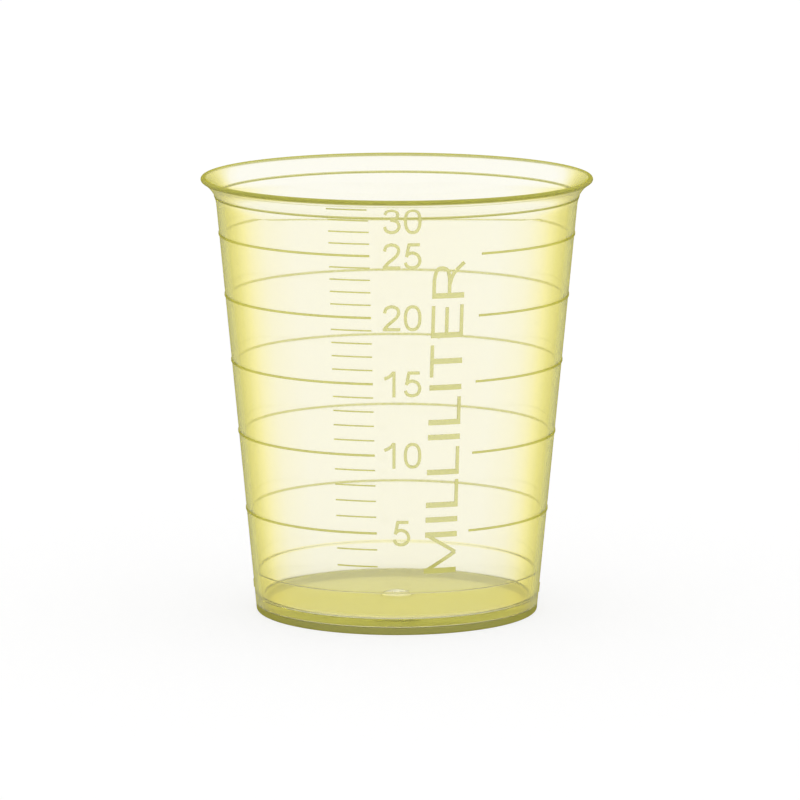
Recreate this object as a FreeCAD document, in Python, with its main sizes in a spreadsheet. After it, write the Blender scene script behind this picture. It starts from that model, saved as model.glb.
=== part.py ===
import FreeCAD, Part

import math
import os

import Sketcher

# A one-piece moulded measuring cup for 30 ml of liquid medicine, in millimetres.
# The cup stands on its foot ring at z = 0 with its axis on Z. The scale faces -Y.

# Driving dimensions: name, value, and what it measures
SIZES = (
    ("height", 42.37, "table to the top of the lip"),
    ("base_radius", 13.65, "outside of the wall, carried down to the table"),
    ("draft_angle", 5.41, "lean of the wall from upright, degrees"),
    ("wall", 0.5, "thickness of the wall and of the lip's flare"),
    ("floor_thickness", 0.72, "thickness of the floor"),
    ("foot_height", 0.73, "table to the underside of the floor"),
    ("foot_width", 0.9, "width of the foot ring at the table"),
    ("corner_radius", 0.15, "outer bottom edge of the foot ring"),
    ("floor_fillet", 0.5, "inner corner between floor and wall"),
    ("shoulder_height", 4.1, "table to the stacking shoulder inside"),
    ("shoulder_width", 0.25, "step of the stacking shoulder"),
    ("gate_radius", 1.6, "round gate dimple in the underside"),
    ("gate_depth", 0.35, "depth of the gate dimple, and rise of the floor over it"),
    ("nub_radius", 0.4, "gate mark left inside the dimple"),
    ("nub_length", 0.28, "length of the gate mark"),
    ("flare_radius", 2.93, "outer curve under the lip"),
    ("flare_angle", 59.2, "lean of the flare at the lip, from upright, degrees"),
    ("parting_drop", 1.82, "top of the lip down to the parting line"),
    ("parting_step", 0.05, "ledge at the parting line"),
    ("mark_volume", 1000.0, "cubic millimetres from one mark to the next"),
    ("first_mark", 3, "lowest mark of the ladder, millilitres"),
    ("last_mark", 29, "highest mark of the ladder, millilitres"),
    ("ring_interval", 5, "marks from one ring line to the next"),
    ("last_ring", 25, "highest ring line, millilitres"),
    ("line_width", 0.13, "height of a mark of the ladder along Z"),
    ("ring_width", 0.22, "height along Z of a ring line and of the mark that it runs into"),
    ("line_relief", 0.07, "how far a line stands out from the wall"),
    ("tick_length", 3.94, "length of a mark of the ladder"),
    ("ladder_angle", 15.2, "ladder's middle, degrees left of the front"),
    ("gap_angle", 27.8, "end of the gap in the rings, degrees right of the front"),
)

# The front of the cup, as an angle from +X, degrees
FRONT = -90

doc = FreeCAD.newDocument("medicine_cup")
sheet = doc.addObject("Spreadsheet::Sheet", "sizes")
for row, (name, value, meaning) in enumerate(SIZES, start=1):
    sheet.set(f"A{row}", name)
    sheet.set(f"B{row}", str(value))
    sheet.set(f"C{row}", meaning)
    sheet.setAlias(f"B{row}", name)
doc.recompute()


# Lengths that follow from the driving dimensions, as expressions
def outside(height):
    """Radius of the outer wall at a height."""
    return f"(sizes.base_radius + ({height}) * tan(sizes.draft_angle))"


def inside(height):
    """Radius of the inner wall above the shoulder at a height."""
    return f"({outside(height)} - sizes.wall / cos(sizes.draft_angle))"


FOOT_RADIUS = "(sizes.base_radius - sizes.foot_width)"
CORNER_RUN = "(sizes.corner_radius * tan(45 - sizes.draft_angle / 2))"
FLOOR_RUN = "(sizes.floor_fillet * tan(45 - sizes.draft_angle / 2))"
FLOOR = "(sizes.foot_height + sizes.floor_thickness)"
WELL_EDGE = f"({inside(FLOOR)} - sizes.shoulder_width)"
SHOULDER = f"({inside('sizes.shoulder_height')} - sizes.shoulder_width)"
GATE_TOP = "(sizes.foot_height + sizes.gate_depth)"
GATE_CURVE = "((sizes.gate_radius ^ 2 + sizes.gate_depth ^ 2) / (2 * sizes.gate_depth))"
LIP_RADIUS = "((sizes.wall - sizes.parting_step) / 2)"
UPPER_FLARE = "(sizes.flare_radius + sizes.parting_step)"
INNER_FLARE = "(sizes.flare_radius + sizes.wall)"
FLARE_RISE = f"(({UPPER_FLARE} + {LIP_RADIUS}) * sin(sizes.flare_angle))"
FLARE_CENTRE_Z = f"(sizes.height - {LIP_RADIUS} - {FLARE_RISE})"
FLARE_FOOT = f"({FLARE_CENTRE_Z} + sizes.flare_radius * sin(sizes.draft_angle))"
FLARE_CENTRE_X = f"({outside(FLARE_FOOT)} + sizes.flare_radius * cos(sizes.draft_angle))"
PARTING = "(sizes.height - sizes.parting_drop)"
PARTING_RISE = f"({PARTING} - {FLARE_CENTRE_Z})"


def along_wall(across, up, run):
    """Point that lies a run further up a line with the wall's lean."""
    return f"({across} + {run} * sin(sizes.draft_angle))", f"({up} + {run} * cos(sizes.draft_angle))"


def on_flare(radius, angle):
    """Point of an arc about the flare's centre, where the wall leans by an angle."""
    across = f"({FLARE_CENTRE_X} - {radius} * cos({angle}))"
    up = f"({FLARE_CENTRE_Z} + {radius} * sin({angle}))"
    return across, up


def at_parting(radius):
    """Point of an arc about the flare's centre at the height of the parting line."""
    return f"({FLARE_CENTRE_X} - sqrt({radius} ^ 2 - {PARTING_RISE} ^ 2))", PARTING


def mark_height(mark):
    """Level of the liquid that fills the cup to a mark, counted from the floor."""
    taper = "tan(sizes.draft_angle)"
    shoulder = f"{inside('sizes.shoulder_height')} ^ 3 - {SHOULDER} ^ 3"
    filled = f"3 * {taper} * {mark} * sizes.mark_volume / pi"
    return f"((cbrt({shoulder} + {WELL_EDGE} ^ 3 + {filled}) - {inside('0')}) / {taper})"


# Closed sketches
def corner(sketch, point):
    """A corner's place in millimetres from its two expressions."""
    across, up = (float(sketch.evalExpression(length)) for length in point)
    return FreeCAD.Vector(across, up, 0)


def arc_through(start, end, centre, left):
    """Arc from start to end about a centre, turning left or right."""
    first, last = (start, end) if left else (end, start)
    circle = Part.Circle(centre, FreeCAD.Vector(0, 0, 1), (start - centre).Length)
    angles = [math.atan2(p.y - centre.y, p.x - centre.x) for p in (first, last)]
    return Part.ArcOfCircle(circle, *angles)


def centre_by_radius(start, end, radius, left):
    """Centre of the short arc of a radius from start to end."""
    chord = end - start
    side = FreeCAD.Vector(-chord.y, chord.x, 0).normalize()
    reach = math.sqrt(radius ** 2 - chord.Length ** 2 / 4)
    return (start + end) * 0.5 + side * (reach if left else -reach)


def centre_by_tangent(start, end, heading):
    """Centre of the arc that leaves start in a heading and ends at end."""
    chord = end - start
    normal = FreeCAD.Vector(-heading.y, heading.x, 0)
    return start + normal * (chord.Length ** 2 / (2 * chord.dot(normal)))


def draw(sketch, start, path):
    """Close a sketch along a path of steps from start. Each step is a dict: its end, and for
    an arc its radius and turn, or smooth where it goes on from the step before without a bend."""
    here = corner(sketch, start)
    heading = None
    ends = []
    for step in path:
        there = corner(sketch, step["end"])
        if "radius" in step or "smooth" in step:
            if "smooth" in step:
                centre = centre_by_tangent(here, there, heading)
                left = (centre - here).dot(FreeCAD.Vector(-heading.y, heading.x, 0)) > 0
            else:
                left = step["turn"] == "left"
                radius = float(sketch.evalExpression(step["radius"]))
                centre = centre_by_radius(here, there, radius, left)
            edge = sketch.addGeometry(arc_through(here, there, centre, left), False)
            spoke = there - centre
            heading = FreeCAD.Vector(-spoke.y, spoke.x, 0).normalize() * (1 if left else -1)
            ends.append((edge, 1, 2) if left else (edge, 2, 1))
        else:
            edge = sketch.addGeometry(Part.LineSegment(here, there), False)
            heading = (there - here).normalize()
            ends.append((edge, 1, 2))
        here = there
    for step, (edge, first, last), (before, _, joint) in zip(path, ends, ends[-1:] + ends[:-1]):
        join = "Tangent" if "smooth" in step else "Coincident"
        sketch.addConstraint(Sketcher.Constraint(join, before, joint, edge, first))
        if "radius" in step:
            bind(sketch, step["radius"], "Radius", edge)
        place(sketch, edge, last, step["end"])


def bind(sketch, length, kind, *elements):
    """Add a dimension that keeps to an expression."""
    value = float(sketch.evalExpression(length))
    index = sketch.addConstraint(Sketcher.Constraint(kind, *elements, value))
    sketch.setExpression(f"Constraints[{index}]", length)


def place(sketch, edge, end, point):
    """Hold an end of an edge at a point, or on an axis where its length there is 0."""
    for kind, axis, length in (("DistanceX", -2, point[0]), ("DistanceY", -1, point[1])):
        if length == "0":
            sketch.addConstraint(Sketcher.Constraint("PointOnObject", edge, end, axis))
        else:
            bind(sketch, length, kind, -1, 1, edge, end)


def origin_plane(body, role):
    """One of a body's own origin planes."""
    return next(part for part in body.Origin.OriginFeatures if part.Role == role)


def revolved(body, name, start, path):
    """Full turn about Z of a closed outline drawn on the XZ plane."""
    sketch = body.newObject("Sketcher::SketchObject", f"{name}_outline")
    sketch.AttachmentSupport = [(origin_plane(body, "XZ_Plane"), "")]
    sketch.MapMode = "FlatFace"
    draw(sketch, start, path)
    turned = body.newObject("PartDesign::Revolution", name)
    turned.Profile = sketch
    turned.ReferenceAxis = (sketch, ["V_Axis"])
    turned.Angle = 360
    return turned


# The moulded shell: foot ring, wall, flared lip, shoulder, floor and gate dimple
shell = doc.addObject("PartDesign::Body", "shell")
revolved(
    shell,
    "moulding",
    (FOOT_RADIUS, "0"),
    (
        {"end": (f"(sizes.base_radius - {CORNER_RUN})", "0")},
        {"end": along_wall("sizes.base_radius", "0", CORNER_RUN), "smooth": True},
        {"end": on_flare("sizes.flare_radius", "sizes.draft_angle")},
        {"end": at_parting("sizes.flare_radius"), "smooth": True},
        {"end": at_parting(UPPER_FLARE)},
        {"end": on_flare(UPPER_FLARE, "sizes.flare_angle"), "radius": UPPER_FLARE, "turn": "right"},
        {"end": on_flare(INNER_FLARE, "sizes.flare_angle"), "smooth": True},
        {"end": on_flare(INNER_FLARE, "sizes.draft_angle"), "smooth": True},
        {"end": (inside("sizes.shoulder_height"), "sizes.shoulder_height")},
        {"end": (SHOULDER, "sizes.shoulder_height")},
        {"end": along_wall(WELL_EDGE, FLOOR, FLOOR_RUN)},
        {"end": (f"({WELL_EDGE} - {FLOOR_RUN})", FLOOR), "smooth": True},
        {"end": ("sizes.gate_radius", FLOOR)},
        {"end": ("0", f"({FLOOR} + sizes.gate_depth)"), "radius": GATE_CURVE, "turn": "left"},
        {"end": ("0", GATE_TOP)},
        {"end": ("sizes.gate_radius", "sizes.foot_height"), "radius": GATE_CURVE, "turn": "right"},
        {"end": (FOOT_RADIUS, "sizes.foot_height")},
        {"end": (FOOT_RADIUS, "0")},
    ),
)

# The gate mark hangs from the top of the dimple and is rooted half a floor deep
nub_circle = shell.newObject("Sketcher::SketchObject", "nub_circle")
nub_circle.AttachmentSupport = [(origin_plane(shell, "XY_Plane"), "")]
nub_circle.MapMode = "FlatFace"
nub_circle.setExpression("AttachmentOffset.Base.z", f"{GATE_TOP} - sizes.nub_length")
nub_edge = nub_circle.addGeometry(Part.Circle(FreeCAD.Vector(), FreeCAD.Vector(0, 0, 1), 1), False)
nub_circle.addConstraint(Sketcher.Constraint("Coincident", nub_edge, 3, -1, 1))
bind(nub_circle, "sizes.nub_radius", "Radius", nub_edge)
nub = shell.newObject("PartDesign::Pad", "gate_mark")
nub.Profile = nub_circle
nub.setExpression("Length", "sizes.nub_length + sizes.floor_thickness / 2")

# A skin that stands proud of the wall by the relief of the lines
skin = doc.addObject("PartDesign::Body", "skin")
PROUD_FLARE = "(sizes.flare_radius - sizes.line_relief)"
ROOT_FLARE = "(sizes.flare_radius + sizes.wall / 2)"
PROUD_FOOT = ("(sizes.base_radius + sizes.line_relief / cos(sizes.draft_angle))", "0")
ROOT_FOOT = ("(sizes.base_radius - sizes.wall / 2 / cos(sizes.draft_angle))", "0")
revolved(
    skin,
    "raised_wall",
    ROOT_FOOT,
    (
        {"end": PROUD_FOOT},
        {"end": on_flare(PROUD_FLARE, "sizes.draft_angle")},
        {"end": on_flare(PROUD_FLARE, "sizes.flare_angle"), "smooth": True},
        {"end": on_flare(ROOT_FLARE, "sizes.flare_angle")},
        {"end": on_flare(ROOT_FLARE, "sizes.draft_angle"), "radius": ROOT_FLARE, "turn": "left"},
        {"end": ROOT_FOOT},
    ),
)


# The stencil of the scale: a thin bar for each mark, and most of a thin disc for each ring
marks = range(int(sheet.first_mark), int(sheet.last_mark) + 1)
interval = int(sheet.ring_interval)
rings = range(interval, int(sheet.last_ring) + 1, interval)


def mark_bar(mark):
    """Bar from the axis out through the wall, as long across as a mark of the ladder."""
    width = "sizes.ring_width" if mark in rings else "sizes.line_width"
    bar = doc.addObject("Part::Box", f"mark_{mark}")
    bar.setExpression("Length", "sizes.height")
    bar.setExpression("Width", "sizes.tick_length")
    bar.setExpression("Height", width)
    turn = FreeCAD.Rotation(FreeCAD.Vector(0, 0, 1), FRONT - sheet.ladder_angle)
    bar.Placement = FreeCAD.Placement(FreeCAD.Vector(), turn)
    ladder = f"({FRONT} - sizes.ladder_angle)"
    bar.setExpression("Placement.Base.x", f"sizes.tick_length / 2 * sin({ladder})")
    bar.setExpression("Placement.Base.y", f"-sizes.tick_length / 2 * cos({ladder})")
    bar.setExpression("Placement.Base.z", f"{mark_height(mark)} - {width} / 2")
    return bar


def ring_disc(mark):
    """Sector from the gap's right end round the back to the middle of the ladder."""
    disc = doc.addObject("Part::Cylinder", f"ring_{mark}")
    disc.setExpression("Radius", "sizes.height")
    disc.setExpression("Height", "sizes.ring_width")
    disc.setExpression("Angle", "360 - sizes.gap_angle - sizes.ladder_angle")
    turn = FreeCAD.Rotation(FreeCAD.Vector(0, 0, 1), FRONT + sheet.gap_angle)
    disc.Placement = FreeCAD.Placement(FreeCAD.Vector(), turn)
    disc.setExpression("Placement.Base.z", f"{mark_height(mark)} - sizes.ring_width / 2")
    return disc


stencil = doc.addObject("Part::MultiFuse", "stencil")
stencil.Shapes = [mark_bar(mark) for mark in marks] + [ring_disc(mark) for mark in rings]

scale = doc.addObject("Part::MultiCommon", "scale")
scale.Shapes = [skin, stencil]

cup = doc.addObject("Part::MultiFuse", "cup")
cup.Shapes = [shell, scale]
cup.Label = "cup"

doc.recompute()

SUB_PARTS = (cup,)
for thing in doc.Objects:
    if "Invalid" in thing.State or "Error" in thing.State:
        raise RuntimeError(f"{thing.Label} failed: {thing.State}")
for part in SUB_PARTS:
    if part.Shape.isNull() or not part.Shape.isValid() or len(part.Shape.Solids) != 1:
        raise RuntimeError(f"{part.Label} is not one valid solid")

os.makedirs("parts", exist_ok=True)
for part in SUB_PARTS:
    part.Shape.exportStep(f"parts/{part.Label}.step")
    box = part.Shape.optimalBoundingBox()
    print(part.Label, "volume", round(part.Shape.Volume, 1), "cubic mm")
    print(part.Label, "box", [round(side, 2) for side in (box.XLength, box.YLength, box.ZLength)])
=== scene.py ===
"""A see-through yellow medicine cup with a raised scale, standing on a white table."""

import math

import bpy
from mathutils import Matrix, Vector


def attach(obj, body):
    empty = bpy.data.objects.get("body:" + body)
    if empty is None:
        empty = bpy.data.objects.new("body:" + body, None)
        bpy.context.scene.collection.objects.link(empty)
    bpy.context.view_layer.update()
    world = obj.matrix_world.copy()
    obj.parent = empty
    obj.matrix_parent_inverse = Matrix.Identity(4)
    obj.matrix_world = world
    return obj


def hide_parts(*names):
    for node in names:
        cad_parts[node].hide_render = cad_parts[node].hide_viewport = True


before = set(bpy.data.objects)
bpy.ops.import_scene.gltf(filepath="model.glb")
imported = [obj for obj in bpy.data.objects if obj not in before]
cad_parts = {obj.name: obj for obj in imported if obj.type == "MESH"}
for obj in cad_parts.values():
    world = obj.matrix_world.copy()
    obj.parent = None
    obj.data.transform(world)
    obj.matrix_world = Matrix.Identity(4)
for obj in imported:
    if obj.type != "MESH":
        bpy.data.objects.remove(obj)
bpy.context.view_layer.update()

MM = 0.001

# The moulding, in millimetres and degrees
HEIGHT = 42.37
BASE_RADIUS = 13.65
DRAFT = math.radians(5.41)
WALL = 0.5
UNDERSIDE = 0.73
FLOOR = 1.45
FOOT_WIDTH = 0.9
FOOT_CORNER = 0.15
FOOT_INNER_CORNER = 0.12
RECESS_CORNER = 0.15
FLOOR_FILLET = 0.5
SHOULDER = 4.1
SHOULDER_WIDTH = 0.25
SHOULDER_CORNER = 0.08
GATE_RADIUS = 1.6
GATE_DEPTH = 0.35
NUB_RADIUS = 0.4
NUB_LENGTH = 0.28
NUB_CORNER = 0.06
NUB_FOOT_CORNER = 0.04
FLARE_RADIUS = 2.93
FLARE_ANGLE = math.radians(59.2)
PARTING_DROP = 1.82
PARTING_STEP = 0.05

# The raised scale
MARK_VOLUME = 1000
FIRST_MARK = 3
LAST_MARK = 29
RING_INTERVAL = 5
RING_COUNT = 5
TICK_LENGTH = 3.94
TICK_WIDTH = 0.13
RING_WIDTH = 0.22
LINE_RELIEF = 0.07
LINE_ROOT = 0.1
TICK_PARTS = 12
RING_PARTS = 224
LADDER_ANGLE = math.radians(-15.2)
RING_START = math.radians(27.8)
NUMERAL_HEIGHT = 2.5
NUMERAL_WIDTH = 0.3
WORD_ANGLE = math.radians(16.75)
WORD_HEIGHT = 3.13
PIP_ENDS = {-1: (2.05, 2.84), 1: (1.56, 2.47)}

# How satin each raised or rounded place is, from clear at nothing to matt at one
SCALE_SATIN = 0.8
LETTERING_SATIN = 0.6
LIP_SATIN = 0.82
PARTING_SATIN = 0.7

SLOPE = math.tan(DRAFT)
UPPER_FLARE = FLARE_RADIUS + PARTING_STEP
LIP_RADIUS = (WALL - PARTING_STEP) / 2
INNER_FLARE = UPPER_FLARE + 2 * LIP_RADIUS
FLARE_HEIGHT = HEIGHT - LIP_RADIUS - (UPPER_FLARE + LIP_RADIUS) * math.sin(FLARE_ANGLE)
FLARE_FOOT = FLARE_HEIGHT + FLARE_RADIUS * math.sin(DRAFT)
FLARE_AXIS = BASE_RADIUS + SLOPE * FLARE_FOOT + FLARE_RADIUS * math.cos(DRAFT)
PARTING = HEIGHT - PARTING_DROP
NOSE_RADIUS = FLARE_AXIS - (UPPER_FLARE + LIP_RADIUS) * math.cos(FLARE_ANGLE)
NOSE_HEIGHT = HEIGHT - LIP_RADIUS
FOOT_HOLLOW = BASE_RADIUS - FOOT_WIDTH - 0.05


def outside(z):
    return BASE_RADIUS + SLOPE * z


def inside(z):
    return outside(z) - WALL / math.cos(DRAFT)


# The inner radii below the shoulder. The volume up to a height grows with the cube of the radius
# there, less START_CUBE.
WELL_RADIUS = inside(SHOULDER) - SHOULDER_WIDTH
FLOOR_RADIUS = inside(FLOOR) - SHOULDER_WIDTH
START_CUBE = inside(SHOULDER) ** 3 - WELL_RADIUS**3 + FLOOR_RADIUS**3


def mark_height(millilitres):
    """The height at which the cup holds that volume."""
    cube = START_CUBE + 3 * SLOPE * millilitres * MARK_VOLUME / math.pi
    return (cube ** (1 / 3) - inside(0)) / SLOPE


# The section of the cup


def rounded(corners, steps=5):
    """The points along corners of (radius from the axis, height, rounding)."""
    points = []
    for i, (r, z, rounding) in enumerate(corners):
        here = Vector((r, z))
        if not rounding:
            points.append(here)
            continue
        back = (Vector(corners[i - 1][:2]) - here).normalized()
        ahead = (Vector(corners[i + 1][:2]) - here).normalized()
        half = back.angle(ahead) / 2
        run = rounding / math.tan(half)
        centre = here + (back + ahead).normalized() * rounding / math.sin(half)
        start = here + back * run - centre
        turn = start.angle_signed(here + ahead * run - centre)
        points.append(here + back * run * 1.3)
        for step in range(steps + 1):
            angle = -turn * step / steps
            spoke = Vector(
                (
                    start.x * math.cos(angle) - start.y * math.sin(angle),
                    start.x * math.sin(angle) + start.y * math.cos(angle),
                )
            )
            points.append(centre + spoke)
        points.append(here + ahead * run * 1.3)
    return points


def gate_rise(r):
    """How far the gate's dimple stands over the floor at that radius."""
    curve = (GATE_RADIUS**2 + GATE_DEPTH**2) / (2 * GATE_DEPTH)
    return GATE_DEPTH - curve + math.sqrt(curve**2 - r**2)


def arc(centre, radius, first, last, steps):
    """Points on an arc about (radius from the axis, height), with no rounding."""
    for step in range(steps + 1):
        angle = first + (last - first) * step / max(steps, 1)
        r = centre[0] + radius * math.cos(angle)
        yield r, centre[1] + radius * math.sin(angle), 0


def section():
    """The cup's section, from the gate under the floor round to the floor's middle."""
    foot_inside = BASE_RADIUS - FOOT_WIDTH
    under_dimple = UNDERSIDE + gate_rise(NUB_RADIUS)
    nub_tip = UNDERSIDE + GATE_DEPTH - NUB_LENGTH
    past_gate = GATE_RADIUS + 0.1
    corners = [(0, nub_tip, 0), (NUB_RADIUS, nub_tip, NUB_CORNER)]
    corners += [(NUB_RADIUS, under_dimple, NUB_FOOT_CORNER)]
    for step in range(1, 9):
        r = NUB_RADIUS + (GATE_RADIUS - NUB_RADIUS) * step / 8
        corners.append((r, UNDERSIDE + gate_rise(r), 0))
    corners += [(past_gate, UNDERSIDE, 0), (foot_inside, UNDERSIDE, RECESS_CORNER)]
    corners += [(foot_inside, 0, FOOT_INNER_CORNER), (BASE_RADIUS, 0, FOOT_CORNER)]
    corners += [(outside(z), z, 0) for z in range(1, 39, 2)]
    flare = (FLARE_AXIS, FLARE_HEIGHT)
    parting_angle = math.pi - math.asin((PARTING - FLARE_HEIGHT) / FLARE_RADIUS)
    corners += arc(flare, FLARE_RADIUS, math.pi - DRAFT, parting_angle, 6)
    half_ledge = 0.022
    end = math.pi - FLARE_ANGLE
    near_end = end + 0.01
    for step in range(7):
        share = step / 6
        angle = parting_angle + half_ledge * (1 - 2 * share)
        radius = FLARE_RADIUS + PARTING_STEP * share * share * (3 - 2 * share)
        corners += arc(flare, radius, angle, angle, 0)
    corners += arc(flare, UPPER_FLARE, parting_angle - 1.6 * half_ledge, near_end, 22)
    middle = UPPER_FLARE + LIP_RADIUS
    nose = (flare[0] + middle * math.cos(end), flare[1] + middle * math.sin(end))
    corners += arc(nose, LIP_RADIUS, end - math.pi, end, 16)
    corners += arc(flare, INNER_FLARE, near_end, math.pi - DRAFT, 26)
    corners += [(inside(z), z, 0) for z in range(38, 4, -2)]
    corners += [(inside(SHOULDER), SHOULDER, SHOULDER_CORNER)]
    corners += [(WELL_RADIUS, SHOULDER, SHOULDER_CORNER), (FLOOR_RADIUS, FLOOR, FLOOR_FILLET)]
    corners += [(past_gate, FLOOR, 0)]
    for step in range(11):
        r = GATE_RADIUS * (10 - step) / 10
        corners.append((r, FLOOR + gate_rise(r), 0))
    return rounded(corners)


# Node trees


def new_tree(name, kind, inputs, outputs):
    """A node group with named sockets, and the sockets of its input and output nodes."""
    tree = bpy.data.node_groups.new(name, kind)
    for side, sockets in (("INPUT", inputs), ("OUTPUT", outputs)):
        for label, socket, *value in sockets:
            made = tree.interface.new_socket(
                name=label,
                in_out=side,
                socket_type="NodeSocket" + socket,
            )
            if value:
                made.default_value = value[0]
    given = tree.nodes.new("NodeGroupInput").outputs
    return tree, given, tree.nodes.new("NodeGroupOutput").inputs


def add(tree, kind, settings=None, **inputs):
    """A node with its settings, and its inputs wired or set by name, or by number as _0."""
    node = tree.nodes.new(kind)
    for name, value in (settings or {}).items():
        setattr(node, name, value)
    for name, value in inputs.items():
        key = int(name[1:]) if name[0] == "_" else name.replace("_", " ")
        socket = node.inputs[key]
        if isinstance(value, bpy.types.NodeSocket):
            tree.links.new(value, socket)
        else:
            socket.default_value = value
    return node


def calc(tree, operation, *values):
    """A Math node's result."""
    inputs = {f"_{i}": value for i, value in enumerate(values)}
    return add(tree, "ShaderNodeMath", {"operation": operation}, **inputs).outputs[0]


def product(tree, *values):
    result = values[0]
    for value in values[1:]:
        result = calc(tree, "MULTIPLY", result, value)
    return result


def highest(tree, *values):
    result = values[0]
    for value in values[1:]:
        result = calc(tree, "MAXIMUM", result, value)
    return result


def blend(tree, share, first, second, kind="FLOAT", way="MIX"):
    """A Mix node's result, for numbers or colours."""
    a, b, result = (2, 3, 0) if kind == "FLOAT" else (6, 7, 2)
    settings = {"data_type": kind, "blend_type": way}
    inputs = {"_0": share, f"_{a}": first, f"_{b}": second}
    return add(tree, "ShaderNodeMix", settings, **inputs).outputs[result]


def combine(tree, x, y, z):
    return add(tree, "ShaderNodeCombineXYZ", None, _0=x, _1=y, _2=z).outputs[0]


def wall_radius_group():
    """The outer wall's radius at a height, on the straight wall and on the flare."""
    tree, given, out = new_tree(
        "wall_radius",
        "GeometryNodeTree",
        [
            ("Height", "Float"),
            ("Base radius", "Float", BASE_RADIUS * MM),
            ("Slope", "Float", SLOPE),
            ("Flare foot", "Float", FLARE_FOOT * MM),
            ("Flare radius", "Float", FLARE_RADIUS * MM),
            ("Flare axis", "Float", FLARE_AXIS * MM),
            ("Flare height", "Float", FLARE_HEIGHT * MM),
            ("Parting", "Float", PARTING * MM),
            ("Parting step", "Float", PARTING_STEP * MM),
        ],
        [("Radius", "Float")],
    )
    straight = calc(tree, "MULTIPLY_ADD", given["Height"], given["Slope"], given["Base radius"])
    above = calc(tree, "GREATER_THAN", given["Height"], given["Parting"])
    curve = calc(tree, "MULTIPLY_ADD", above, given["Parting step"], given["Flare radius"])
    rise = calc(tree, "SUBTRACT", given["Height"], given["Flare height"])
    square = calc(tree, "SUBTRACT", product(tree, curve, curve), product(tree, rise, rise))
    flared = calc(tree, "SUBTRACT", given["Flare axis"], calc(tree, "SQRT", square))
    on_flare = calc(tree, "GREATER_THAN", given["Height"], given["Flare foot"])
    tree.links.new(blend(tree, on_flare, straight, flared), out["Radius"])
    return tree


def radius_at(tree, wall_radius, height):
    group = add(tree, "GeometryNodeGroup", {"node_tree": wall_radius}, Height=height)
    return group.outputs[0]


def raised_line_group(wall_radius):
    """Lays lines drawn in the plane on the wall and gives them the section of a rib."""
    tree, given, out = new_tree(
        "raised_line",
        "GeometryNodeTree",
        [
            ("Lines", "Geometry"),
            ("Angle", "Float"),
            ("Height", "Float"),
            ("Width", "Float"),
            ("Relief", "Float", LINE_RELIEF * MM),
            ("Root", "Float", LINE_ROOT * MM),
            ("Edge rounding", "Float", 0.03 * MM),
        ],
        [("Mesh", "Geometry")],
    )
    radius = radius_at(tree, wall_radius, given["Height"])
    across = calc(tree, "SINE", given["Angle"])
    towards = product(tree, calc(tree, "COSINE", given["Angle"]), -1.0)
    outward = combine(tree, across, towards, 0.0)
    kept = add(tree, "GeometryNodeCaptureAttribute", {"domain": "POINT"})
    kept.capture_items.new("VECTOR", "Outward")
    tree.links.new(given["Lines"], kept.inputs["Geometry"])
    tree.links.new(outward, kept.inputs["Outward"])
    place = combine(
        tree,
        product(tree, across, radius),
        product(tree, towards, radius),
        given["Height"],
    )
    laid = add(
        tree,
        "GeometryNodeSetPosition",
        None,
        Geometry=kept.outputs["Geometry"],
        Position=place,
    )
    path = add(tree, "GeometryNodeMeshToCurve", None, Mesh=laid.outputs[0])
    turned = add(
        tree,
        "GeometryNodeSetCurveNormal",
        {"mode": "FREE"},
        Curve=path.outputs[0],
        Normal=kept.outputs["Outward"],
    )
    depth = calc(tree, "ADD", given["Relief"], given["Root"])
    plate = add(
        tree,
        "GeometryNodeCurvePrimitiveQuadrilateral",
        None,
        Width=depth,
        Height=given["Width"],
    )
    soft = add(
        tree,
        "GeometryNodeFilletCurve",
        {"mode": "POLY"},
        Curve=plate.outputs[0],
        Count=3,
        Limit_Radius=True,
        Radius=given["Edge rounding"],
    )
    lift = product(tree, calc(tree, "SUBTRACT", given["Relief"], given["Root"]), 0.5)
    rib = add(
        tree,
        "GeometryNodeTransform",
        None,
        Geometry=soft.outputs[0],
        Translation=combine(tree, lift, 0.0, 0.0),
    )
    swept = add(
        tree,
        "GeometryNodeCurveToMesh",
        None,
        Curve=turned.outputs[0],
        Profile_Curve=rib.outputs[0],
        Fill_Caps=True,
    )
    tree.links.new(swept.outputs[0], out["Mesh"])
    return tree


def finished(tree, mesh, satin, material, out):
    """Ends a tree: real geometry, its satin share for the plastic's surface, and its material."""
    whole = add(tree, "GeometryNodeRealizeInstances", None, Geometry=mesh)
    share = add(
        tree,
        "GeometryNodeStoreNamedAttribute",
        {"data_type": "FLOAT", "domain": "FACE"},
        Geometry=whole.outputs[0],
        Name="satin",
        Value=satin,
    )
    done = add(tree, "GeometryNodeSetMaterial", None, Geometry=share.outputs[0], Material=material)
    tree.links.new(done.outputs[0], out)


def flat_position(tree):
    """The coordinates of a point that is drawn in the plane."""
    position = add(tree, "GeometryNodeInputPosition").outputs[0]
    return add(tree, "ShaderNodeSeparateXYZ", None, Vector=position).outputs


def laid_lines(tree, raised_line, lines, angle, height, width):
    return add(
        tree,
        "GeometryNodeGroup",
        {"node_tree": raised_line},
        Lines=lines,
        Angle=angle,
        Height=height,
        Width=width,
    ).outputs[0]


def copies(tree, points, line):
    """A copy of the line at each point, as real geometry."""
    placed = add(tree, "GeometryNodeInstanceOnPoints", None, Points=points, Instance=line)
    real = add(tree, "GeometryNodeRealizeInstances", None, Geometry=placed.outputs[0])
    return real.outputs[0]


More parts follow.
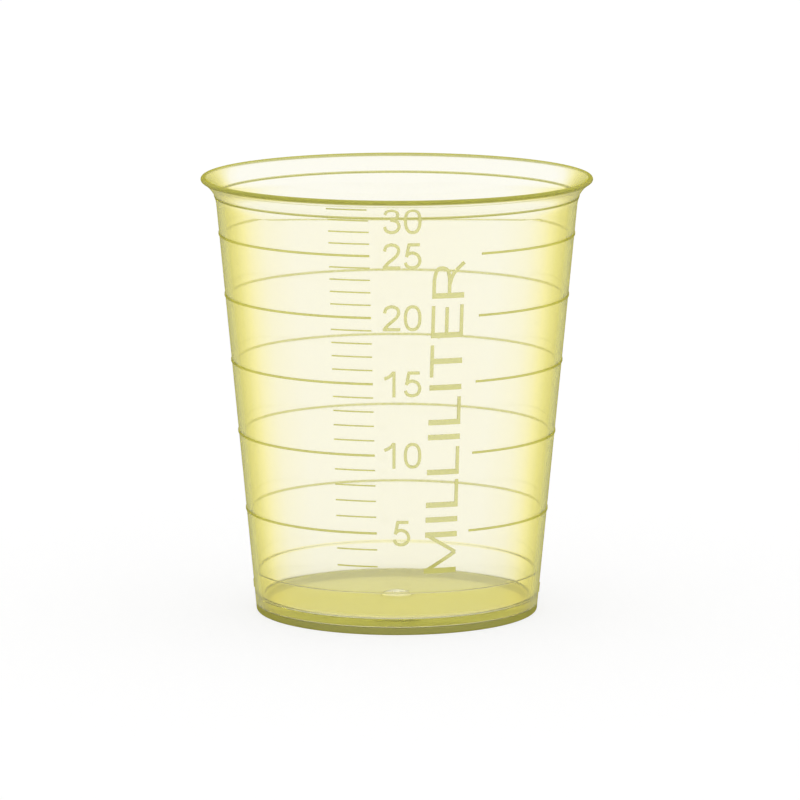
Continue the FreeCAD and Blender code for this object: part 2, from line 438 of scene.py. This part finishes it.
def mark_points(tree, given, count, first, step):
    """One point for each mark, at (0, height of its volume, 0)."""
    line = add(tree, "GeometryNodeMeshLine", None, Count=count, Offset=(0, 0, 0))
    index = tree.nodes.new("GeometryNodeInputIndex").outputs[0]
    mark = calc(tree, "MULTIPLY_ADD", index, step, first)
    volume = product(tree, mark, given["Mark volume"])
    growth = product(tree, given["Slope"], 3 / math.pi)
    cube = calc(tree, "MULTIPLY_ADD", volume, growth, given["Start cube"])
    radius = calc(tree, "POWER", cube, 1 / 3)
    above = calc(tree, "SUBTRACT", radius, given["Inner radius"])
    height = calc(tree, "DIVIDE", above, given["Slope"])
    return add(
        tree,
        "GeometryNodeSetPosition",
        None,
        Geometry=line.outputs[0],
        Position=combine(tree, 0.0, height, 0.0),
    ).outputs[0]


def scale_tree(wall_radius, raised_line):
    """The ladder of ticks and the ring lines, at heights that follow from the volume."""
    tree, given, out = new_tree(
        "scale_lines",
        "GeometryNodeTree",
        [
            ("Mark volume", "Float", MARK_VOLUME * MM**3),
            ("Start cube", "Float", START_CUBE * MM**3),
            ("Inner radius", "Float", inside(0) * MM),
            ("Slope", "Float", SLOPE),
            ("First mark", "Int", FIRST_MARK),
            ("Last mark", "Int", LAST_MARK),
            ("Tick length", "Float", TICK_LENGTH * MM),
            ("Tick width", "Float", TICK_WIDTH * MM),
            ("Ladder angle", "Float", LADDER_ANGLE),
            ("Ring count", "Int", RING_COUNT),
            ("Ring interval", "Int", RING_INTERVAL),
            ("Ring start", "Float", RING_START),
            ("Ring width", "Float", RING_WIDTH * MM),
            ("Material", "Material"),
        ],
        [("Mesh", "Geometry")],
    )
    count = calc(tree, "ADD", calc(tree, "SUBTRACT", given["Last mark"], given["First mark"]), 1.0)
    ticks = mark_points(tree, given, count, given["First mark"], 1.0)
    index = tree.nodes.new("GeometryNodeInputIndex").outputs[0]
    volume = calc(tree, "ADD", index, given["First mark"])
    past_ring = calc(tree, "FLOORED_MODULO", volume, given["Ring interval"])
    ticks = add(
        tree,
        "GeometryNodeDeleteGeometry",
        {"domain": "POINT"},
        Geometry=ticks,
        Selection=calc(tree, "LESS_THAN", past_ring, 0.5),
    )
    half = product(tree, given["Tick length"], 0.5)
    spacing = calc(tree, "DIVIDE", given["Tick length"], float(TICK_PARTS))
    tick = add(
        tree,
        "GeometryNodeMeshLine",
        None,
        Count=TICK_PARTS + 1,
        Start_Location=combine(tree, product(tree, half, -1.0), 0.0, 0.0),
        Offset=combine(tree, spacing, 0.0, 0.0),
    )
    ladder = copies(tree, ticks.outputs[0], tick.outputs[0])
    place = flat_position(tree)
    radius = radius_at(tree, wall_radius, place[1])
    turned = calc(tree, "ADD", calc(tree, "DIVIDE", place[0], radius), given["Ladder angle"])
    ladder = laid_lines(tree, raised_line, ladder, turned, place[1], given["Tick width"])
    interval = given["Ring interval"]
    rings = mark_points(tree, given, given["Ring count"], interval, interval)
    ring = add(
        tree,
        "GeometryNodeMeshLine",
        None,
        Count=RING_PARTS + 1,
        Offset=(1 / RING_PARTS, 0, 0),
    )
    rings = copies(tree, rings, ring.outputs[0])
    ladder_end = calc(tree, "ADD", calc(tree, "DIVIDE", half, radius), given["Ladder angle"])
    sweep = calc(tree, "ADD", ladder_end, 2 * math.pi)
    sweep = calc(tree, "SUBTRACT", sweep, given["Ring start"])
    turned = calc(tree, "MULTIPLY_ADD", place[0], sweep, given["Ring start"])
    rings = laid_lines(tree, raised_line, rings, turned, place[1], given["Ring width"])
    joined = add(tree, "GeometryNodeJoinGeometry", None, Geometry=ladder)
    tree.links.new(rings, joined.inputs[0])
    finished(tree, joined.outputs[0], SCALE_SATIN, given["Material"], out["Mesh"])
    return tree


def lettering_tree(wall_radius, raised_line):
    """Strokes drawn in the plane, laid on the wall as ribs."""
    tree, given, out = new_tree(
        "lettering",
        "GeometryNodeTree",
        [
            ("Strokes", "Geometry"),
            ("Turn", "Float"),
            ("Stroke width", "Float", NUMERAL_WIDTH * MM),
            ("Material", "Material"),
        ],
        [("Mesh", "Geometry")],
    )
    place = flat_position(tree)
    radius = radius_at(tree, wall_radius, place[1])
    turned = calc(tree, "ADD", calc(tree, "DIVIDE", place[0], radius), given["Turn"])
    lines, width = given["Strokes"], given["Stroke width"]
    ribs = laid_lines(tree, raised_line, lines, turned, place[1], width)
    finished(tree, ribs, LETTERING_SATIN, given["Material"], out["Mesh"])
    return tree


def turned_tree():
    """Turns a section about the upright axis into a closed body."""
    tree, given, out = new_tree(
        "turned_body",
        "GeometryNodeTree",
        [
            ("Section", "Geometry"),
            ("Rail radius", "Float", BASE_RADIUS * MM),
            ("Divisions", "Int", 256),
            ("Material", "Material"),
        ],
        [("Mesh", "Geometry")],
    )
    rail = add(
        tree,
        "GeometryNodeCurvePrimitiveCircle",
        None,
        Resolution=given["Divisions"],
        Radius=given["Rail radius"],
    )
    profile = add(tree, "GeometryNodeMeshToCurve", None, Mesh=given["Section"])
    shift = combine(tree, product(tree, given["Rail radius"], -1.0), 0.0, 0.0)
    placed = add(
        tree,
        "GeometryNodeTransform",
        None,
        Geometry=profile.outputs[0],
        Translation=shift,
        Scale=(1, -1, 1),
    )
    upright = add(tree, "GeometryNodeSetCurveNormal", {"mode": "Z_UP"}, Curve=rail.outputs[0])
    body = add(
        tree,
        "GeometryNodeCurveToMesh",
        None,
        Curve=upright.outputs[0],
        Profile_Curve=placed.outputs[0],
    )
    closed = add(tree, "GeometryNodeMergeByDistance", None, Geometry=body.outputs[0], Distance=1e-6)
    outward = add(tree, "GeometryNodeFlipFaces", None, Mesh=closed.outputs[0])
    finished(tree, outward.outputs[0], 0.0, given["Material"], out["Mesh"])
    return tree


# Lettering


def smooth(points, steps=6):
    """A curve through points, a few steps between each two."""
    ends = [points[0]] + points + [points[-1]]
    curve = []
    for a, b, c, d in zip(ends, ends[1:], ends[2:], ends[3:]):
        for step in range(steps):
            t = step / steps
            weights = (
                (2 * t**2 - t - t**3) / 2,
                (2 - 5 * t**2 + 3 * t**3) / 2,
                (t + 4 * t**2 - 3 * t**3) / 2,
                (t**3 - t**2) / 2,
            )
            spot = (sum(w * v for w, v in zip(weights, values)) for values in zip(a, b, c, d))
            curve.append(tuple(spot))
    return curve + [points[-1]]


def oval(x, y, half_width, half_height, steps=40):
    """A closed path that is a little squarer than an ellipse."""
    path = []
    for step in range(steps + 1):
        angle = 2 * math.pi * step / steps
        c, s = math.cos(angle), math.sin(angle)
        bulge = (abs(c) ** 2.4 + abs(s) ** 2.4) ** (-1 / 2.4)
        path.append((x + half_width * c * bulge, y + half_height * s * bulge))
    return path


# Centre lines of the numerals' strokes, 2.5 mm high, each numeral 1.94 mm after the one before
DIGITS = {
    "0": [oval(0.97, 1.25, 0.68, 1.1)],
    "1": [
        [(1.15, 0), (1.15, 2.5)],
        smooth([(1.12, 2.42), (0.88, 2.12), (0.56, 1.9), (0.24, 1.78)]),
    ],
    "2": [
        smooth(
            [(0.27, 1.72), (0.42, 2.16), (0.93, 2.35), (1.43, 2.18), (1.59, 1.78)]
            + [(1.43, 1.36), (1.05, 0.98), (0.6, 0.6), (0.3, 0.24)]
        ),
        [(0.1, 0.15), (1.76, 0.15)],
    ],
    "3": [
        smooth(
            [(0.3, 1.86), (0.5, 2.23), (0.93, 2.35), (1.36, 2.2), (1.5, 1.86)]
            + [(1.33, 1.5), (0.8, 1.36)]
        ),
        smooth(
            [(0.8, 1.36), (1.4, 1.2), (1.63, 0.74), (1.42, 0.31), (0.93, 0.15)]
            + [(0.46, 0.29), (0.27, 0.68)]
        ),
    ],
    "5": [
        [(0.5, 2.35), (1.64, 2.35)],
        [(0.62, 2.4), (0.4, 1.18)],
        smooth(
            [(0.36, 1.22), (0.6, 1.48), (0.97, 1.57), (1.44, 1.35), (1.65, 0.85)]
            + [(1.45, 0.34), (0.95, 0.15), (0.47, 0.28), (0.28, 0.64)]
        ),
    ],
}
DIGIT_STEP = 1.94
PAIR_START = -1.42
SINGLE_START = -0.53

# Strokes of the unit word: width, then lines of (distance up the wall, height in the letter)
STEM = 0.52
ARM = 0.34
TOP = WORD_HEIGHT
WORD = {
    STEM: [
        [(up, 0), (up, TOP)]
        for up in (6.31, 9.84, 11.31, 12.76, 15.96, 19.37, 20.82, 24.2, 26.75, 29.26, 33.06)
    ],
    ARM: [
        [(6.3, TOP - 0.1), (8.07, 0.12)],
        [(8.07, 0.12), (9.85, TOP - 0.1)],
        [(12.5, ARM / 2), (15.2, ARM / 2)],
        [(15.7, ARM / 2), (18.4, ARM / 2)],
        [(20.56, ARM / 2), (23.25, ARM / 2)],
        [(25.2, TOP - ARM / 2), (28.3, TOP - ARM / 2)],
        [(29.0, ARM / 2), (32.15, ARM / 2)],
        [(29.0, 1.63), (31.95, 1.63)],
        [(29.0, TOP - ARM / 2), (32.1, TOP - ARM / 2)],
        [(32.8, TOP - ARM / 2)]
        + smooth(
            [(34.6, TOP - ARM / 2), (35.5, TOP - 0.4), (35.72, 2.22), (35.45, 1.67), (34.6, 1.46)]
        )
        + [(32.8, 1.46)],
        smooth([(34.2, 1.42), (34.95, 1.2), (35.55, 0.75), (36.2, 0.05)]),
    ],
}


def numeral_lines():
    """The centre lines of all numerals, beside their marks."""
    lines = []
    for text, mark in (("30", 28), ("25", 25), ("20", 20), ("15", 15), ("10", 10), ("5", 5)):
        start = PAIR_START if len(text) == 2 else SINGLE_START
        foot = mark_height(mark) - NUMERAL_HEIGHT / 2
        for place, digit in enumerate(text):
            shift = start + place * DIGIT_STEP
            lines += [[(x + shift, y + foot) for x, y in path] for path in DIGITS[digit]]
    return lines


def pip_lines():
    """A short upright pip low on the wall, a quarter turn to either side of the front."""
    quarter = math.pi / 2
    return [[(side * quarter * outside(z), z) for z in ends] for side, ends in PIP_ENDS.items()]


def word_lines(width):
    """The word's strokes of one width, read from the foot of the cup upwards."""
    return [[(TOP / 2 - up, along) for along, up in path] for path in WORD[width]]


def divided(path, most=0.25):
    """The path with points no further apart than that."""
    points = [path[0]]
    for a, b in zip(path, path[1:]):
        parts = max(1, math.ceil(math.dist(a, b) / most))
        for i in range(1, parts + 1):
            points.append(tuple(p + (q - p) * i / parts for p, q in zip(a, b)))
    return points


# Meshes


def drawn(name, paths):
    """A mesh of edges along paths given in millimetres."""
    vertices, edges = [], []
    for path in paths:
        closed = len(path) > 2 and math.dist(path[0], path[-1]) < 1e-6
        first = len(vertices)
        points = path[:-1] if closed else path
        vertices += [(x * MM, y * MM, 0) for x, y in points]
        edges += [(first + i, first + i + 1) for i in range(len(points) - 1)]
        if closed:
            edges.append((len(vertices) - 1, first))
    mesh = bpy.data.meshes.new(name)
    mesh.from_pydata(vertices, edges, [])
    return mesh


def held(name, data):
    """An object for that data, in the scene."""
    holder = bpy.data.objects.new(name, data)
    bpy.context.scene.collection.objects.link(holder)
    return holder


def grown(tree, source, **values):
    """The mesh that a tree makes of a source mesh, with its named inputs set."""
    holder = held(tree.name, source)
    modifier = holder.modifiers.new(tree.name, "NODES")
    modifier.node_group = tree
    for item in tree.interface.items_tree:
        if item.item_type == "SOCKET" and item.in_out == "INPUT" and item.name in values:
            modifier[item.identifier] = values[item.name]
    made = holder.evaluated_get(bpy.context.evaluated_depsgraph_get())
    mesh = bpy.data.meshes.new_from_object(made)
    bpy.data.objects.remove(holder)
    return mesh


def union_tree():
    """Joins the raised marks to the body as one skin, smooth but for the marks and corners."""
    tree, given, out = new_tree(
        "one_moulding",
        "GeometryNodeTree",
        [
            ("Body", "Geometry"),
            ("Scale", "Object"),
            ("Numerals", "Object"),
            ("Word stems", "Object"),
            ("Word arms", "Object"),
            ("Sharp angle", "Float", math.radians(50)),
        ],
        [("Mesh", "Geometry")],
    )
    union = add(tree, "GeometryNodeMeshBoolean", {"operation": "UNION", "solver": "MANIFOLD"})
    tree.links.new(given["Body"], union.inputs["Mesh 2"])
    island = add(tree, "GeometryNodeInputMeshIsland").outputs["Island Index"]
    for label in ("Scale", "Numerals", "Word stems", "Word arms"):
        marks = add(tree, "GeometryNodeObjectInfo", None, Object=given[label])
        strokes = add(
            tree,
            "GeometryNodeSplitToInstances",
            {"domain": "FACE"},
            Geometry=marks.outputs["Geometry"],
            Group_ID=island,
        )
        tree.links.new(strokes.outputs[0], union.inputs["Mesh 2"])
    soft = add(tree, "GeometryNodeSetShadeSmooth", {"domain": "FACE"}, Geometry=union.outputs[0])
    fold = add(tree, "GeometryNodeInputMeshEdgeAngle").outputs["Unsigned Angle"]
    satin = add(tree, "GeometryNodeInputNamedAttribute", {"data_type": "FLOAT"}, Name="satin")
    both_sides = add(
        tree,
        "GeometryNodeFieldOnDomain",
        {"data_type": "FLOAT", "domain": "EDGE"},
        Value=satin.outputs["Attribute"],
    ).outputs[0]
    from_half = calc(tree, "ABSOLUTE", calc(tree, "SUBTRACT", both_sides, 0.5))
    on_mark = calc(tree, "LESS_THAN", from_half, 0.4)
    steep = calc(tree, "GREATER_THAN", fold, given["Sharp angle"])
    corner = highest(tree, on_mark, steep)
    creased = add(
        tree,
        "GeometryNodeSetShadeSmooth",
        {"domain": "EDGE"},
        Geometry=soft.outputs[0],
        Selection=corner,
        Shade_Smooth=False,
    )
    whole = add(tree, "GeometryNodeRealizeInstances", None, Geometry=creased.outputs[0])
    tree.links.new(whole.outputs[0], out["Mesh"])
    return tree


# Materials


def ramp(tree, factor, stops):
    """A Color Ramp through (position, colour) stops."""
    node = add(tree, "ShaderNodeValToRGB", None, Fac=factor)
    elements = node.color_ramp.elements
    while len(elements) < len(stops):
        elements.new(1.0)
    for element, (position, colour) in zip(elements, stops):
        element.position = position
        element.color = (*colour, 1)
    return node.outputs[0]


def tinted(tree, colour, share, tint):
    """The colour, multiplied by a tint as far as the share goes."""
    return blend(tree, share, colour, tint, "RGBA", "MULTIPLY")


def mixed_shader(tree, share, first, second):
    node = add(tree, "ShaderNodeMixShader", None, _0=share, _1=first, _2=second)
    return node.outputs[0]


def map_range(tree, value, source, target=(0.0, 1.0), kind="LINEAR"):
    """The value, moved from one range to another and held within it."""
    return add(
        tree,
        "ShaderNodeMapRange",
        {"interpolation_type": kind},
        Value=value,
        From_Min=source[0],
        From_Max=source[1],
        To_Min=target[0],
        To_Max=target[1],
    ).outputs[0]


def near(tree, distance, reach, middle=0.0):
    """One up to the middle and the near reach, in mm, fading to nothing at the far reach."""
    source = [(middle + edge) * MM for edge in reach]
    return map_range(tree, distance, source, (1.0, 0.0), "SMOOTHSTEP")


def from_origin(tree, a, b):
    """The distance of a point from the origin, from two coordinates."""
    return calc(tree, "SQRT", calc(tree, "ADD", product(tree, a, a), product(tree, b, b)))


def from_height(tree, z, height):
    """The distance up or down from a height in mm."""
    return calc(tree, "ABSOLUTE", calc(tree, "SUBTRACT", z, height * MM))


def cleared(name):
    """A new material without nodes, and its tree."""
    material = bpy.data.materials.new(name)
    material.use_nodes = True
    material.node_tree.nodes.clear()
    return material, material.node_tree


def moulded_surface_group():
    """Slow flow marks and fine grain of a moulded face: its tint, roughness and height."""
    tree, given, out = new_tree(
        "moulded_surface",
        "ShaderNodeTree",
        [
            ("Vector", "Vector"),
            ("Pale", "Color", (1, 1, 1, 1)),
            ("Deep", "Color", (0.9, 0.9, 0.8, 1)),
            ("Flow size", "Float", 120.0),
            ("Grain size", "Float", 2500.0),
            ("Least roughness", "Float", 0.03),
            ("Most roughness", "Float", 0.08),
            ("Grain", "Float", 0.2),
        ],
        [("Color", "Color"), ("Roughness", "Float"), ("Height", "Float")],
    )
    vector = given["Vector"]
    stretched = add(tree, "ShaderNodeMapping", None, Vector=vector, Scale=(1, 1, 0.35))
    flow = add(
        tree,
        "ShaderNodeTexNoise",
        None,
        Vector=stretched.outputs[0],
        Scale=given["Flow size"],
        Detail=3.0,
    )
    grain = add(
        tree,
        "ShaderNodeTexNoise",
        None,
        Vector=vector,
        Scale=given["Grain size"],
        Detail=2.0,
    )
    tint = blend(tree, flow.outputs[0], given["Pale"], given["Deep"], "RGBA")
    tree.links.new(tint, out["Color"])
    roughness = (given["Least roughness"], given["Most roughness"])
    rough = map_range(tree, grain.outputs[0], (0.3, 0.7), roughness)
    tree.links.new(rough, out["Roughness"])
    height = calc(tree, "MULTIPLY_ADD", grain.outputs[0], given["Grain"], flow.outputs[0])
    tree.links.new(height, out["Height"])
    return tree


# The two finishes of the moulded surface
CLEAR_FINISH = {
    "Pale": (1.0, 0.993, 0.935, 1),
    "Deep": (1.0, 0.98, 0.9, 1),
    "Least_roughness": 0.02,
    "Most_roughness": 0.06,
    "Grain": 0.05,
}
SATIN_FINISH = {
    "Pale": (0.97, 0.97, 0.24, 1),
    "Deep": (0.95, 0.94, 0.18, 1),
    "Least_roughness": 0.2,
    "Most_roughness": 0.3,
    "Grain": 0.1,
}

# How far each band of the material reaches, fully and at its faded edge, in mm
NOSE_REACH = (0.22, 0.3)
PARTING_REACH = (0.1, 0.14)
LEDGE_REACH = (0.1, 0.16)
FACE_REACH = (0.1, 0.2)
FOOT_REACH = (0.68, 0.74)
SLAB_REACH = (1.5, 1.9)
SLAB_EDGE = (-0.1, 0.3)
WELL_REACH = (-0.15, 0.0)

# Colours by the slant at which the wall is seen, from 0 face on to 1 edge on
# The first stops deepen and darken towards edge on: partly the longer path through the plastic,
# partly painted shade of darker edges
DEPTH_AND_EDGE_SHADE_STOPS = (
    (0.2, (1.0, 1.0, 1.0)),
    (0.341, (1.0, 0.97, 0.76)),
    (0.415, (1.0, 0.94, 0.5)),
    (0.507, (0.97, 0.86, 0.2)),
    (0.588, (0.78, 0.68, 0.06)),
    (0.679, (0.62, 0.52, 0.01)),
    (0.76, (0.46, 0.42, 0.01)),
    (1.0, (0.3, 0.27, 0.01)),
)
HAZE_STOPS = (
    (0.0, (0.9, 0.88, 0.2)),
    (0.5, (0.9, 0.86, 0.13)),
    (0.76, (0.8, 0.75, 0.06)),
    (1.0, (0.72, 0.67, 0.04)),
)
GRAZING_STOPS = (
    (0.45, (0.0,) * 3),
    (0.507, (0.02,) * 3),
    (0.588, (0.06,) * 3),
    (0.679, (0.15,) * 3),
    (0.76, (0.3,) * 3),
    (0.88, (0.65,) * 3),
    (1.0, (0.95,) * 3),
)
FLARE_EASE = 0.7
SLAB_FACING = (0.45, 0.8)
FLARE_FACING = (0.6, 0.85)

# Tints partly for thicker plastic and partly painted shade: on the slab and the wall below the
# shoulder, the yellow light under the cup, which reaches it only through the plastic
SLAB_DEPTH_AND_SHADE_TINT = (0.96, 0.85, 0.1, 1)
WELL_TINT = (1.0, 0.96, 0.5, 1)
# Partly the longer path through the curved flare, partly painted shade: darker sides of the flare
FLARE_DEPTH_AND_SHADE_TINT = (0.85, 0.78, 0.1, 1)
SHADOW_TINT = (0.99, 0.98, 0.88, 1)
THICK_COLOUR = (0.955, 0.945, 0.2, 1)
THICK_DENSITY = 60.0
REFRACTION = 1.49
MOST_CLEAR = 0.98


def cup_plastic():
    """Clear yellow plastic: thin faces are pale, and edges, lines and thick places deeper, partly
    from thickness and partly from painted shade.
    """
    material, tree = cleared("clear_yellow_plastic")
    place = tree.nodes.new("ShaderNodeTexCoord").outputs["Object"]
    x, y, z = add(tree, "ShaderNodeSeparateXYZ", None, Vector=place).outputs
    radius = from_origin(tree, x, y)

    # Satin places: the raised marks, the nose of the lip and the parting line
    raised = add(tree, "ShaderNodeAttribute", {"attribute_name": "satin"}).outputs["Fac"]
    out = calc(tree, "SUBTRACT", radius, NOSE_RADIUS * MM)
    up = calc(tree, "SUBTRACT", z, NOSE_HEIGHT * MM)
    nose = near(tree, from_origin(tree, out, up), NOSE_REACH)
    parting = near(tree, from_height(tree, z, PARTING), PARTING_REACH)
    outer_face = calc(tree, "GREATER_THAN", radius, (outside(PARTING) - WALL / 2) * MM)
    line = product(tree, parting, outer_face, PARTING_SATIN)
    satin = highest(tree, raised, product(tree, nose, LIP_SATIN), line)

    surface = {"node_tree": moulded_surface_group()}
    plain = add(tree, "ShaderNodeGroup", surface, Vector=place, **CLEAR_FINISH).outputs
    frosted = add(tree, "ShaderNodeGroup", surface, Vector=place, **SATIN_FINISH).outputs
    relief = add(
        tree,
        "ShaderNodeBump",
        None,
        Strength=0.05,
        Distance=0.05 * MM,
        Height=blend(tree, satin, plain["Height"], frosted["Height"]),
    ).outputs[0]

    # The slant of the wall to the camera, eased on the flare
    rays = tree.nodes.new("ShaderNodeLightPath").outputs
    first = rays["Is Camera Ray"]
    facing = add(tree, "ShaderNodeLayerWeight", None, Blend=0.5, Normal=relief).outputs["Facing"]
    flare = near(tree, product(tree, z, -1.0), (-HEIGHT + 1.0, -FLARE_FOOT))
    ease = product(tree, calc(tree, "SUBTRACT", facing, 1.0), flare)
    slant = product(tree, calc(tree, "MULTIPLY_ADD", ease, FLARE_EASE, facing), first)

    # Places that are thicker, or lie deeper, than the plain wall, whose tints are partly that
    # thickness and partly painted shade
    under_floor = near(tree, radius, SLAB_EDGE, FOOT_HOLLOW)
    slab = product(tree, near(tree, z, SLAB_REACH), under_floor)
    slab = product(tree, slab, map_range(tree, facing, SLAB_FACING))
    well = product(tree, near(tree, z, WELL_REACH, SHOULDER), first)
    flare_side = product(tree, flare, map_range(tree, facing, FLARE_FACING), first)
    inner_face = near(tree, radius, FACE_REACH, inside(SHOULDER))
    ledge = near(tree, from_height(tree, z, SHOULDER), LEDGE_REACH)
    ledge = product(tree, ledge, inner_face)
    # The foot ring and its inner face, whose haze gets painted shade for the dim hollow under the
    # floor
    in_foot = calc(tree, "GREATER_THAN", radius, FOOT_HOLLOW * MM)
    foot = product(tree, near(tree, z, FOOT_REACH), in_foot)
    foot_face = near(tree, radius, FACE_REACH, FOOT_HOLLOW)

    # The slant tint and the tints below carry painted shade: darker edges, and the yellow light
    # under the cup on the slab and below the shoulder
    depth = ramp(tree, slant, DEPTH_AND_EDGE_SHADE_STOPS)
    tints = ((slab, SLAB_DEPTH_AND_SHADE_TINT), (well, WELL_TINT), (ledge, WELL_TINT), (flare_side, FLARE_DEPTH_AND_SHADE_TINT))
    for share, tint in tints:
        depth = tinted(tree, depth, share, tint)
    colour = blend(tree, satin, plain["Color"], frosted["Color"], "RGBA")
    glass = add(
        tree,
        "ShaderNodeBsdfPrincipled",
        None,
        Base_Color=tinted(tree, colour, 1.0, depth),
        Roughness=blend(tree, satin, plain["Roughness"], frosted["Roughness"]),
        Normal=relief,
        IOR=REFRACTION,
        Transmission_Weight=1.0,
    )

    # The haze of satin and slanted places, and how much painted shade darkens it
    # Painted shade: a little on the marks, the parting line and the lip's nose, most on the foot
    # ring and its inner face
    painted_shade = highest(
        tree,
        product(tree, raised, facing, 0.15),
        product(tree, line, facing, 0.5),
        product(tree, nose, 0.2),
        product(tree, foot, 0.22),
        product(tree, foot, foot_face, 0.7),
    )
    veil = tinted(tree, ramp(tree, slant, HAZE_STOPS), painted_shade, (0.0, 0.0, 0.0, 1))
    front_haze = add(tree, "ShaderNodeBsdfDiffuse", None, Color=veil, Normal=relief)
    through_haze = add(tree, "ShaderNodeBsdfTranslucent", None, Color=veil, Normal=relief)
    haze = mixed_shader(tree, 0.5, front_haze.outputs[0], through_haze.outputs[0])
    clear = calc(tree, "SUBTRACT", MOST_CLEAR, ramp(tree, slant, GRAZING_STOPS))
    for share, loss in ((satin, 0.82), (foot, 0.75), (slab, 0.36), (flare_side, 0.35)):
        clear = product(tree, clear, calc(tree, "MULTIPLY_ADD", share, -loss, 1.0))
    cloudy = calc(tree, "SUBTRACT", 1.0, clear)
    seen = mixed_shader(tree, cloudy, glass.outputs[0], haze)

    # Lamps shine through with a light tint, so the cup's shadow stays faint
    lit_through = add(tree, "ShaderNodeBsdfTransparent", None, Color=SHADOW_TINT)
    shown = mixed_shader(tree, rays["Is Shadow Ray"], seen, lit_through.outputs[0])
    thickness = add(
        tree,
        "ShaderNodeVolumeAbsorption",
        None,
        Color=THICK_COLOUR,
        Density=THICK_DENSITY,
    )
    add(
        tree,
        "ShaderNodeOutputMaterial",
        None,
        Surface=shown,
        Volume=thickness.outputs[0],
    )
    return material


# The cup


plastic = cup_plastic()

wall_radius = wall_radius_group()
raised_line = raised_line_group(wall_radius)
lettering = lettering_tree(wall_radius, raised_line)

outline = [[(point.x, point.y) for point in section()]]
body = grown(turned_tree(), drawn("section", outline), Material=plastic)
scale_lines = grown(
    scale_tree(wall_radius, raised_line),
    bpy.data.meshes.new("scale_lines"),
    Material=plastic,
)
numerals = grown(
    lettering,
    drawn("numerals", [divided(path) for path in numeral_lines() + pip_lines()]),
    Material=plastic,
)
word = {
    width: grown(
        lettering,
        drawn("word", [divided(path) for path in word_lines(width)]),
        **{"Material": plastic, "Turn": WORD_ANGLE, "Stroke width": width * MM},
    )
    for width in (STEM, ARM)
}
marks = {
    "Scale": held("scale", scale_lines),
    "Numerals": held("numerals", numerals),
    "Word stems": held("word_stems", word[STEM]),
    "Word arms": held("word_arms", word[ARM]),
}
moulding = grown(union_tree(), body, **marks)
for holder in marks.values():
    bpy.data.objects.remove(holder)

cup = held("medicine_cup", moulding)
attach(cup, "root")
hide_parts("cup")

# The table, the light and the camera

TABLE_HALF = 6.0
TABLE_GREY = (0.3, 0.3, 0.3, 1)
TABLE_GLOW = 0.71
CAMERA_PLACE = (0, -0.56364, 0.11284)
CAMERA_TILT = math.radians(90 - 9.3057)
CAMERA_LENS = 265.03
CAMERA_SHIFT = 0.00398
BOUNCES = 40


def table_material():
    """White, with the object's shadow, and plain white for what looks at it directly."""
    material, tree = cleared("white_table")
    matt = add(tree, "ShaderNodeBsdfDiffuse", None, Color=TABLE_GREY)
    glow = add(tree, "ShaderNodeEmission", None, Color=(1, 1, 1, 1), Strength=TABLE_GLOW)
    rays = tree.nodes.new("ShaderNodeLightPath").outputs
    direct = [rays[f"Is {kind} Ray"] for kind in ("Camera", "Glossy", "Transmission")]
    seen = highest(tree, *direct)
    lit = add(tree, "ShaderNodeMixShader", None, _0=seen, _2=glow.outputs[0])
    both = add(tree, "ShaderNodeAddShader", None, _0=matt.outputs[0], _1=lit.outputs[0])
    add(tree, "ShaderNodeOutputMaterial", None, Surface=both.outputs[0])
    return material


table_mesh = bpy.data.meshes.new("table")
corners = ((-1, -1), (1, -1), (1, 1), (-1, 1))
places = [(x * TABLE_HALF, y * TABLE_HALF, 0) for x, y in corners]
table_mesh.from_pydata(places, [], [(0, 1, 2, 3)])
table_mesh.materials.append(table_material())
table = held("table", table_mesh)

scene = bpy.context.scene
world = bpy.data.worlds.new("studio")
scene.world = world
world.use_nodes = True
sky = world.node_tree
sky.nodes.clear()
air = add(sky, "ShaderNodeBackground", None, Color=(1, 1, 1, 1), Strength=1.0)
add(sky, "ShaderNodeOutputWorld", None, Surface=air.outputs[0])

camera_data = bpy.data.cameras.new("camera")
camera_data.sensor_width = 36
camera_data.lens = CAMERA_LENS
camera_data.shift_x = CAMERA_SHIFT
camera_data.clip_start = 0.01
camera = held("camera", camera_data)
camera.location = CAMERA_PLACE
camera.rotation_euler = (CAMERA_TILT, 0, 0)
scene.camera = camera
scene.view_settings.view_transform = "Standard"
scene.cycles.max_bounces = BOUNCES
scene.cycles.glossy_bounces = BOUNCES
scene.cycles.transmission_bounces = BOUNCES
scene.cycles.transparent_max_bounces = 24
